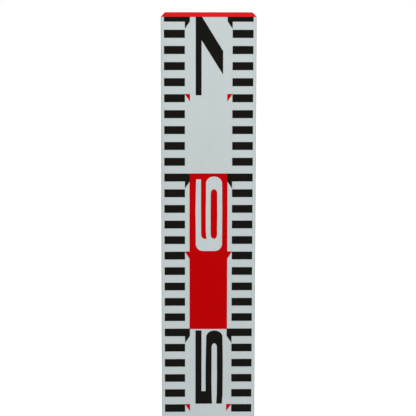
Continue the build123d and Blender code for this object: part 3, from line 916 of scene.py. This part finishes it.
class STAFF_OT_print_ring(Operator):
    """Prints the ring on the vial that the bubble is centred in"""
    bl_idname = "staff.print_ring"
    bl_label = "Print the level's ring"

    def execute(self, context):
        settings = context.scene.staff_print
        low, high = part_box("level_vial")
        bubble_low, bubble_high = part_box("level_bubble")
        middle = np.array([0.0, (low.z + high.z) / 2])
        inner = (bubble_high.x - bubble_low.x) / 2 + settings.ring_clear
        outer = inner + settings.ring_width
        turn = np.linspace(0.0, 2 * np.pi, RING_STEPS)
        around = np.stack([np.cos(turn), np.sin(turn)], -1)
        ring = np.stack([middle + inner * around, middle + outer * around], 1)[None]

        def place(flat):
            return np.stack([-flat[:, 0], np.full(len(flat), high.y + settings.ring_top), flat[:, 1]], -1)

        ink = ink_finish("ring_ink", tuple(settings.black))
        lay_film("level_ring", [ring], place, settings.ring_film, ink, "level")
        return {"FINISHED"}


# stage


def sight(yaw, pitch, roll):
    """The camera's axes: level and facing the back, then turned about the upright, tilted down and rolled."""
    right = np.array([np.cos(yaw), np.sin(yaw), 0.0])
    ahead = np.array([-np.sin(yaw), np.cos(yaw), 0.0])
    down = np.array([0.0, 0.0, -1.0])
    ahead, down = np.cos(pitch) * ahead + np.sin(pitch) * down, np.cos(pitch) * down - np.sin(pitch) * ahead
    right, down = np.cos(roll) * right + np.sin(roll) * down, np.cos(roll) * down - np.sin(roll) * right
    return right, -down, -ahead


def stand(place, axes):
    """The matrix of an object at a place, with its three axes given."""
    return Matrix.Translation(place) @ Matrix(np.stack(axes, 1).tolist()).to_4x4()


def backdrop_share(tree):
    """1 for rays of the camera, of reflections and of clear pieces, which see plain white, 0 for light."""
    path = tree.nodes.new("ShaderNodeLightPath")
    share = path.outputs["Is Camera Ray"]
    for kind in ("Is Glossy Ray", "Is Transmission Ray"):
        most = tree.nodes.new("ShaderNodeMath")
        most.operation = "MAXIMUM"
        tree.links.new(share, most.inputs[0])
        tree.links.new(path.outputs[kind], most.inputs[1])
        share = most.outputs["Value"]
    return share


class STAFF_OT_set_stage(Operator):
    """Lays the floor, lights the staff and sets the camera"""
    bl_idname = "staff.set_stage"
    bl_label = "Set the stage"

    def execute(self, context):
        settings = context.scene.staff_stage
        self.floor(context.scene, settings)
        self.surroundings(context.scene, settings)
        self.lamps(context.scene, settings)
        self.camera(context.scene, settings)
        context.scene.view_settings.view_transform = "Standard"
        return {"FINISHED"}

    def floor(self, scene, settings):
        """A level square under the foot, pale for light, near white for the eye, so only the shadow shows."""
        reach = 150.0
        height = -0.05 * MM
        rim = [(-reach, -reach, height), (reach, -reach, height),
               (reach, reach, height), (-reach, reach, height)]
        mesh = bpy.data.meshes.new("floor")
        mesh.from_pydata(rim, [], [(0, 1, 2, 3)])
        floor = bpy.data.objects.new("floor", mesh)
        scene.collection.objects.link(floor)
        material = bpy.data.materials.new("pale_floor")
        material.use_nodes = True
        tree = material.node_tree
        shader = tree.nodes["Principled BSDF"]
        shader.inputs["Base Color"].default_value = (0.8, 0.8, 0.8, 1.0)
        shader.inputs["Roughness"].default_value = 0.9
        shader.inputs["Specular IOR Level"].default_value = 0.0
        shader.inputs["Emission Color"].default_value = (1.0, 1.0, 1.0, 1.0)
        glow = tree.nodes.new("ShaderNodeMath")
        glow.operation = "MULTIPLY"
        glow.inputs[1].default_value = settings.shine
        tree.links.new(backdrop_share(tree), glow.inputs[0])
        tree.links.new(glow.outputs["Value"], shader.inputs["Emission Strength"])
        mesh.materials.append(material)

    def surroundings(self, scene, settings):
        """White all round for the eye and for reflections, and a softer level as light."""
        world = bpy.data.worlds.new("surroundings")
        scene.world = world
        world.use_nodes = True
        tree = world.node_tree
        shown = tree.nodes["Background"]
        shown.inputs["Color"].default_value = (1.0, 1.0, 1.0, 1.0)
        strength = tree.nodes.new("ShaderNodeMapRange")
        strength.inputs["To Min"].default_value = settings.sky
        strength.inputs["To Max"].default_value = 1.0
        tree.links.new(backdrop_share(tree), strength.inputs["Value"])
        tree.links.new(strength.outputs["Result"], shown.inputs["Strength"])

    def lamps(self, scene, settings):
        """Two wide even lamps, above in front and lower behind, and a small panel near the staff's top."""
        self.lamp(scene, "front", "SUN", settings.sun, place=(0.0, -1.2, 1.9), height=0.5)
        self.lamp(scene, "behind", "SUN", settings.fill, place=(-0.9, 1.5, 1.2), height=0.5)
        self.lamp(scene, "panel", "AREA", settings.glow, place=(0.1, -0.4, 1.0), height=0.68)

    def lamp(self, scene, name, kind, power, place, height):
        """A lamp at a place, shining at the axis of the staff at a height."""
        light = bpy.data.lights.new(name, kind)
        light.energy = power
        if kind == "SUN":
            light.angle = np.radians(35.0)
        else:
            light.size = 0.3
        back = np.array(place) - np.array([0.0, 0.0, height])
        back = back / np.linalg.norm(back)
        side = np.cross((0.0, 0.0, 1.0), back)
        side = side / np.linalg.norm(side)
        holder = bpy.data.objects.new(name, light)
        scene.collection.objects.link(holder)
        holder.matrix_world = stand(place, (side, np.cross(back, side), back))

    def camera(self, scene, settings):
        """The photograph's view: the camera at its place, turned by its three angles."""
        eye = bpy.data.cameras.new("eye")
        eye.lens = settings.lens
        eye.sensor_width = 36.0
        eye.clip_start = 0.01
        eye.clip_end = 500.0
        camera = bpy.data.objects.new("eye", eye)
        scene.collection.objects.link(camera)
        camera.matrix_world = stand(settings.eye, sight(settings.yaw, settings.pitch, settings.roll))
        scene.camera = camera


# panel, register and main


class STAFF_PT_panel(Panel):
    """Lists the steps of the staff's making and its sizes and colours"""
    bl_idname = "STAFF_PT_panel"
    bl_label = "Leveling staff"
    bl_space_type = "VIEW_3D"
    bl_region_type = "UI"
    bl_category = "Staff"

    def draw(self, context):
        for step in STEPS:
            self.layout.operator(step.bl_idname)
        for group, kind in SETTINGS.items():
            box = self.layout.box()
            for name in kind.__annotations__:
                box.prop(getattr(context.scene, group), name)


SETTINGS = {
    "staff_print": StaffPrintSettings,
    "staff_finish": StaffFinishSettings,
    "staff_stage": StaffStageSettings,
}
STEPS = (
    STAFF_OT_coat_sections,
    STAFF_OT_print_black,
    STAFF_OT_print_red,
    STAFF_OT_print_pale,
    STAFF_OT_print_back,
    STAFF_OT_finish_cap,
    STAFF_OT_finish_slides,
    STAFF_OT_bow_springs,
    STAFF_OT_finish_foot,
    STAFF_OT_finish_level,
    STAFF_OT_print_ring,
    STAFF_OT_set_stage,
)
CLASSES = (*SETTINGS.values(), *STEPS, STAFF_PT_panel)


def register():
    for kind in CLASSES:
        bpy.utils.register_class(kind)
    for group, kind in SETTINGS.items():
        setattr(bpy.types.Scene, group, PointerProperty(type=kind))


def unregister():
    for group in SETTINGS:
        delattr(bpy.types.Scene, group)
    for kind in reversed(CLASSES):
        bpy.utils.unregister_class(kind)


def main():
    register()
    bpy.ops.staff.coat_sections()
    bpy.ops.staff.print_black()
    bpy.ops.staff.print_red()
    bpy.ops.staff.print_pale()
    bpy.ops.staff.print_back()
    bpy.ops.staff.finish_cap()
    bpy.ops.staff.finish_slides()
    bpy.ops.staff.bow_springs()
    bpy.ops.staff.finish_foot()
    bpy.ops.staff.finish_level()
    bpy.ops.staff.print_ring()
    bpy.ops.staff.set_stage()


if __name__ == "__main__":
    main()
